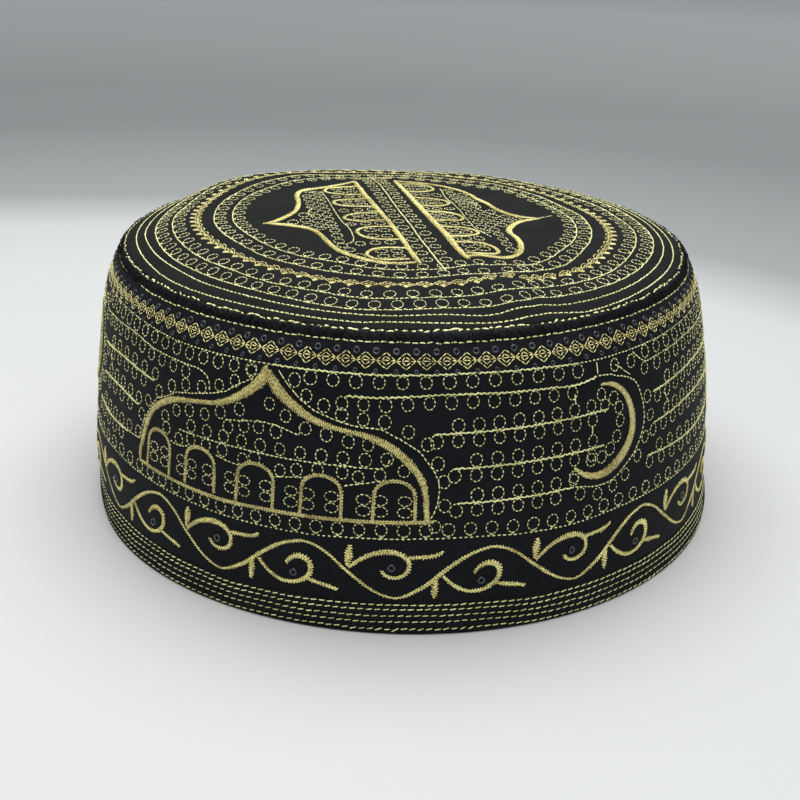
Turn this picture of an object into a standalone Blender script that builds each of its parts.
"""A stiff round kufi: an oval domed crown on a tall side band, a ribbed roll of over-sewing round the seam,
and a thicker ribbed hem whose flat underside the hat rests on.

Units are metres, +Z is up and the front of the hat faces -Y. Every piece is a section turned round the
hat's axis and then pressed to the hat's oval, so all four pieces share one outer skin.
"""

import math

import bmesh
import bpy

MM = 0.001

# The rim, as the empty hat stands: 580 mm round, a little longer from front to back than across.
HALF_WIDTH = 89.25 * MM
HALF_LENGTH = 95.35 * MM
OVAL_TURN = math.radians(10.2)
MEAN_RADIUS = (HALF_WIDTH + HALF_LENGTH) / 2

# The outer skin from the rim up the wall, over the shoulder and in to the middle of the crown.
# Columns: name of the level, share of the rim's radius, height in mm.
SKIN_LEVELS = (
    ("rim", 1.000, 0.0),
    ("hem top", 0.992, 7.6),
    ("vine top", 0.981, 23.8),
    ("wall low", 0.966, 36.0),
    ("wall high", 0.947, 50.0),
    ("wall upper", 0.9345, 57.0),
    ("shoulder", 0.922, 61.9),
    ("chain", 0.907, 64.8),
    ("wall top", 0.882, 68.5),
    ("seam", 0.862, 70.6),
    ("edge line", 0.836, 71.8),
    ("inner line", 0.802, 72.7),
    ("outer rings", 0.771, 73.4),
    ("middle rings", 0.719, 74.4),
    ("star chain", 0.642, 75.3),
    ("inner rings", 0.522, 76.0),
    ("medallion", 0.300, 77.2),
    ("middle", 0.000, 78.0),
)

# Thickness of the worked cloth, and how far the hem and the roll stand out from the skin.
WALL_THICKNESS = 2.0 * MM
CROWN_THICKNESS = 2.0 * MM
HEM_THICKNESS = 2.8 * MM
HEM_PROUD = 0.4 * MM
ROLL_THICKNESS = 2.4 * MM
ROLL_PROUD = 0.5 * MM
EDGE_ROUNDING = 0.45 * MM
PIECE_GAP = 0.3 * MM

# Rows of faces along the skin of each piece, and faces round the hat.
AROUND = 90
HEM_ROWS = 2
WALL_ROWS = 9
ROLL_ROWS = 2
CROWN_ROWS = 12
CROWN_INNER_ROWS = 7

# The empty crown leans: it falls a little towards the back, and its middle falls a little to the right.
LEAN_START = 20.0 * MM
LEAN_FULL = 70.0 * MM
LEAN_BACK = -0.007
MIDDLE_LEAN = -0.02
MIDDLE_LEAN_OUTER = 0.83
MIDDLE_LEAN_INNER = 0.65

# One soft fold runs in from the front edge of the crown: a ridge with a hollow beside it.
# Columns: x of the line, half-width, height.
FOLD_LINES = (
    (27.0 * MM, 4.5 * MM, 1.1 * MM),
    (37.5 * MM, 5.0 * MM, -0.8 * MM),
)
FOLD_OUTER = 0.855
FOLD_OUTER_FADE = 0.06
FOLD_BACK = -38.0 * MM
FOLD_BACK_FADE = 12.0 * MM

# The crown is a little fuller at the back left. Columns: x, y, reach, height.
SWELL = (-52.0 * MM, 45.0 * MM, 26.0 * MM, 1.7 * MM)
SWELL_OUTER_FADE = 0.10

# The rim tucks in on the left, and the whole hat is shifted so that its box stays centred on the origin.
TUCK_DEPTH = 1.5 * MM
TUCK_TOP = 16.0 * MM
TUCK_REACH = math.radians(20)
CENTRE_SHIFT = -0.5 * MM

# Name of the piece, colour of its cloth and roughness.
CLOTHS = {
    "crown": ((0.030, 0.030, 0.033), 0.62),
    "seam_binding": ((0.012, 0.013, 0.016), 0.80),
    "side_band": ((0.010, 0.012, 0.017), 0.70),
    "hem_band": ((0.012, 0.013, 0.016), 0.80),
}


def clear_scene():
    """Removes what the file opened with."""
    for thing in list(bpy.data.objects):
        bpy.data.objects.remove(thing, do_unlink=True)


def pieces_collection():
    """The collection that holds the hat's pieces."""
    pieces = bpy.data.collections.get("kufi")
    if pieces is None:
        pieces = bpy.data.collections.new("kufi")
        bpy.context.scene.collection.children.link(pieces)
    return pieces


def smooth_step(amount):
    """Eases from 0 to 1 while the amount goes from 0 to 1."""
    share = min(max(amount, 0.0), 1.0)
    return share * share * (3.0 - 2.0 * share)


# The skin as one smooth curve


def skin_knots():
    """Each level as (radius, height), with its distance along the skin from the rim."""
    points = [(share * MEAN_RADIUS, height * MM) for _, share, height in SKIN_LEVELS]
    distances = [0.0]
    for low, high in zip(points, points[1:]):
        distances.append(distances[-1] + math.dist(low, high))
    return points, distances


KNOTS, KNOT_AT = skin_knots()
LEVEL_AT = {level[0]: at for level, at in zip(SKIN_LEVELS, KNOT_AT)}


def knot_slope(index):
    """Direction of the skin at one level, from its neighbours; level at the middle of the crown."""
    last = len(KNOTS) - 1
    if index == last:
        return (-1.0, 0.0)
    before = max(index - 1, 0)
    after = min(index + 1, last)
    span = KNOT_AT[after] - KNOT_AT[before]
    return tuple((KNOTS[after][axis] - KNOTS[before][axis]) / span for axis in (0, 1))


def skin(at):
    """Radius and height of the outer skin at a distance from the rim (a cubic through the levels)."""
    at = min(max(at, 0.0), KNOT_AT[-1])
    index = max(i for i in range(len(KNOTS) - 1) if KNOT_AT[i] <= at)
    span = KNOT_AT[index + 1] - KNOT_AT[index]
    share = (at - KNOT_AT[index]) / span
    start_weight = (1 + 2 * share) * (1 - share) ** 2
    start_slope_weight = share * (1 - share) ** 2 * span
    end_weight = share**2 * (3 - 2 * share)
    end_slope_weight = share**2 * (share - 1) * span
    start_slope = knot_slope(index)
    end_slope = knot_slope(index + 1)
    return tuple(
        start_weight * KNOTS[index][axis]
        + start_slope_weight * start_slope[axis]
        + end_weight * KNOTS[index + 1][axis]
        + end_slope_weight * end_slope[axis]
        for axis in (0, 1)
    )


def off_skin(at, depth):
    """A point under the skin, depth measured square to it; a negative depth stands proud."""
    step = 0.2 * MM
    low = skin(at - step)
    high = skin(at + step)
    length = math.dist(low, high)
    along = ((high[0] - low[0]) / length, (high[1] - low[1]) / length)
    radius, height = skin(at)
    return (radius - depth * along[1], height + depth * along[0])


def spaced(start, end, rows):
    """Evenly spaced distances from start to end, both included."""
    return [start + (end - start) * row / rows for row in range(rows + 1)]


# Sections: closed outlines, down the outer side and back up the inner side


def strip_section(low, high, rows, thickness, proud=0.0):
    """Section of a strip of cloth that follows the skin, with its long edges rounded."""
    outer_depth = -proud
    inner_depth = thickness - proud
    outer = [
        off_skin(at, outer_depth)
        for at in spaced(high - EDGE_ROUNDING, low + EDGE_ROUNDING, rows)
    ]
    inner = [off_skin(at, inner_depth) for at in spaced(low, high, rows)]
    low_edge = off_skin(low, outer_depth + EDGE_ROUNDING)
    high_edge = off_skin(high, outer_depth + EDGE_ROUNDING)
    return outer + [low_edge] + inner + [high_edge]


def hem_section(high):
    """Section of the hem, cut level at the rim so that the hat stands on a flat ring."""
    outer_rim = skin(0.0)[0] + HEM_PROUD
    inner_rim = outer_rim - HEM_THICKNESS
    outer = [off_skin(at, -HEM_PROUD) for at in spaced(high - EDGE_ROUNDING, EDGE_ROUNDING, HEM_ROWS)]
    underside = [
        (outer_rim - EDGE_ROUNDING, 0.0),
        (inner_rim + EDGE_ROUNDING, 0.0),
    ]
    inner_depth = HEM_THICKNESS - HEM_PROUD
    inner = [off_skin(at, inner_depth) for at in spaced(2 * EDGE_ROUNDING, high, HEM_ROWS)]
    high_edge = off_skin(high, EDGE_ROUNDING - HEM_PROUD)
    return outer + underside + inner + [high_edge]


def crown_section(low):
    """Half section of the crown: out from the middle over the top, round the edge and back underneath."""
    middle = KNOT_AT[-1]
    top = [skin(at) for at in spaced(middle, low + EDGE_ROUNDING, CROWN_ROWS)]
    edge = [off_skin(low, EDGE_ROUNDING), off_skin(low, CROWN_THICKNESS)]
    under = [off_skin(at, CROWN_THICKNESS) for at in spaced(low, middle, CROWN_INNER_ROWS)]
    top[0] = (0.0, top[0][1])
    under[-1] = (0.0, top[0][1] - CROWN_THICKNESS)
    return top + edge + under[1:]


# From a section to a piece of the hat


def turn(name, section, closed):
    """Turns a section round the hat's axis with a Screw modifier, and returns it as a plain mesh object."""
    profile = bpy.data.meshes.new(name + "_section")
    count = len(section)
    edges = [(i, (i + 1) % count) for i in range(count if closed else count - 1)]
    profile.from_pydata([(radius, 0.0, height) for radius, height in section], edges, [])
    turned = bpy.data.objects.new(name, profile)
    pieces_collection().objects.link(turned)
    screw = turned.modifiers.new("turn", "SCREW")
    screw.angle = math.tau
    screw.steps = AROUND
    screw.render_steps = AROUND
    screw.use_merge_vertices = True
    screw.merge_threshold = 0.01 * MM
    bpy.context.view_layer.update()
    seen = turned.evaluated_get(bpy.context.evaluated_depsgraph_get())
    solid = bpy.data.meshes.new_from_object(seen)
    turned.modifiers.clear()
    turned.data = solid
    solid.name = name
    bpy.data.meshes.remove(profile)
    return turned


def fold_height(x, y, share):
    """Height that the soft fold adds to the crown at a place, fading out short of the seam."""
    into_front = smooth_step((FOLD_OUTER - share) / FOLD_OUTER_FADE)
    out_of_back = smooth_step((FOLD_BACK - y) / FOLD_BACK_FADE)
    lines = sum(
        height * math.exp(-(((x - middle) / width) ** 2))
        for middle, width, height in FOLD_LINES
    )
    return into_front * out_of_back * lines


def swell_height(x, y, share):
    """Height that the fuller back left adds to the crown at a place."""
    middle_x, middle_y, reach, height = SWELL
    near = math.hypot(x - middle_x, y - middle_y) / reach
    return height * math.exp(-(near**2)) * smooth_step((FOLD_OUTER - share) / SWELL_OUTER_FADE)


def tuck_depth(angle, height):
    """How far the rim is tucked in at an angle and height; the left is at half a turn."""
    from_left = math.remainder(angle - math.pi, math.tau) / TUCK_REACH
    return TUCK_DEPTH * math.exp(-(from_left**2)) * smooth_step(1.0 - height / TUCK_TOP)


def pressed(radius, angle, height, on_crown):
    """Where a point of the turned form goes when the hat takes its oval, its lean and its folds."""
    share = (radius - tuck_depth(angle, height)) / MEAN_RADIUS
    across = HALF_WIDTH * share * math.cos(angle)
    along = HALF_LENGTH * share * math.sin(angle)
    x = across * math.cos(OVAL_TURN) - along * math.sin(OVAL_TURN)
    y = across * math.sin(OVAL_TURN) + along * math.cos(OVAL_TURN)
    lean = smooth_step((height - LEAN_START) / (LEAN_FULL - LEAN_START))
    height += LEAN_BACK * lean * y
    if on_crown:
        reach = MIDDLE_LEAN_OUTER - MIDDLE_LEAN_INNER
        height += MIDDLE_LEAN * smooth_step((MIDDLE_LEAN_OUTER - share) / reach) * x
        height += fold_height(x, y, share) + swell_height(x, y, share)
    return (x + CENTRE_SHIFT, y, height)


def press_to_oval(piece, on_crown=False):
    """Presses a turned piece to the shape of the hat."""
    for vertex in piece.data.vertices:
        x, y, height = vertex.co
        radius = math.hypot(x, y)
        vertex.co = pressed(radius, math.atan2(y, x), height, on_crown)


def finish_mesh(piece):
    """Closes the turned mesh's seam, faces it outward and shades it smooth."""
    mesh = bmesh.new()
    mesh.from_mesh(piece.data)
    bmesh.ops.remove_doubles(mesh, verts=mesh.verts, dist=0.01 * MM)
    bmesh.ops.recalc_face_normals(mesh, faces=mesh.faces)
    mesh.to_mesh(piece.data)
    mesh.free()
    piece.data.shade_smooth()
    piece.data.set_sharp_from_angle(angle=math.radians(40))


def cloth(name):
    """The plain cloth colour of one piece."""
    colour, roughness = CLOTHS[name]
    material = bpy.data.materials.new(name + "_cloth")
    material.use_nodes = True
    shader = material.node_tree.nodes["Principled BSDF"]
    shader.inputs["Base Color"].default_value = (*colour, 1.0)
    shader.inputs["Roughness"].default_value = roughness
    shader.inputs["Metallic"].default_value = 0.0
    return material


def make_piece(name, section, closed=True, on_crown=False):
    """Turns, presses and finishes one piece of the hat."""
    piece = turn(name, section, closed)
    press_to_oval(piece, on_crown)
    finish_mesh(piece)
    piece.data.materials.clear()
    piece.data.materials.append(cloth(name))
    return piece


# The four pieces


def make_hem_band():
    """The ribbed hem round the opening."""
    return make_piece("hem_band", hem_section(LEVEL_AT["hem top"]))


def make_side_band():
    """The tall wall, from the hem to the roll."""
    low = LEVEL_AT["hem top"] + PIECE_GAP
    high = LEVEL_AT["wall top"] + PIECE_GAP
    return make_piece("side_band", strip_section(low, high, WALL_ROWS, WALL_THICKNESS))


def make_seam_binding():
    """The ribbed roll of over-sewing between the wall and the crown."""
    low = LEVEL_AT["wall top"] + 2 * PIECE_GAP
    high = LEVEL_AT["seam"]
    section = strip_section(low, high, ROLL_ROWS, ROLL_THICKNESS, ROLL_PROUD)
    return make_piece("seam_binding", section)


def make_crown():
    """The oval top panel."""
    low = LEVEL_AT["seam"] + PIECE_GAP
    return make_piece("crown", crown_section(low), closed=False, on_crown=True)


clear_scene()
make_hem_band()
make_side_band()
make_seam_binding()
make_crown()
